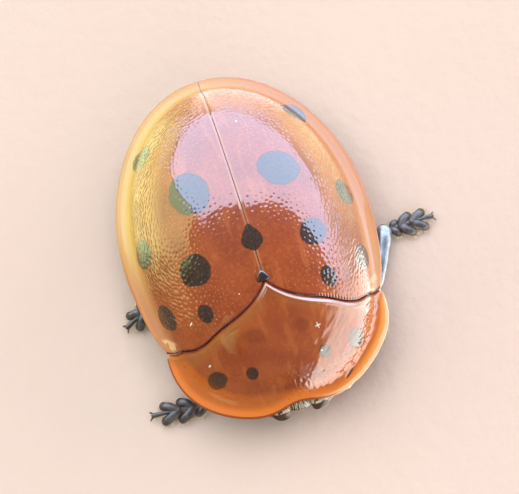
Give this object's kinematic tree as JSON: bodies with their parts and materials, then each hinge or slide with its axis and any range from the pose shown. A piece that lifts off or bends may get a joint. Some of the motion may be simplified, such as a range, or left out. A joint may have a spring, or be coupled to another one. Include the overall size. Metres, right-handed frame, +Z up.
{
  "type": "tortoise beetle",
  "caption": "Life-size still model of an orange tortoise beetle with black spots: high domed wing cases with a flat margin, a shield over the head, folded feelers and lobed feet.",
  "frame": {"origin": "on the floor, under the middle of the whole model's box in plan", "axes": "+Y toward the beetle's tail, +X toward its left side, +Z up"},
  "size_m": [0.0106, 0.0114, 0.0047],
  "materials": {
    "wing_case": "glossy pitted orange cuticle with black spots and a paler margin",
    "pronotum_shield": "glossy, finely pitted brownish orange cuticle with dark spots and a brighter margin",
    "scutellum": "glossy dark maroon cuticle",
    "underside": "satin dark brown cuticle with fine hairs",
    "leg": "satin blackish brown cuticle with short pale hairs on the soles",
    "eye": "very glossy, finely faceted dark brown",
    "antenna": "orange brown at the base, dark and velvety at the club"
  },
  "bodies": {
    "root": {"abdomen": "underside", "antenna_left": "antenna", "antenna_right": "antenna", "elytron_left": "wing_case", "elytron_right": "wing_case", "eye_left": "eye", "eye_right": "eye", "femur_front_left": "leg", "femur_front_right": "leg", "femur_hind_left": "leg", "femur_hind_right": "leg", "femur_middle_left": "leg", "femur_middle_right": "leg", "head": "underside", "pronotum": "pronotum_shield", "prothorax": "underside", "scutellum": "scutellum", "tarsus_front_left": "leg", "tarsus_front_right": "leg", "tarsus_hind_left": "leg", "tarsus_hind_right": "leg", "tarsus_middle_left": "leg", "tarsus_middle_right": "leg", "thorax": "underside", "tibia_front_left": "leg", "tibia_front_right": "leg", "tibia_hind_left": "leg", "tibia_hind_right": "leg", "tibia_middle_left": "leg", "tibia_middle_right": "leg"}
  },
  "joints": []
}
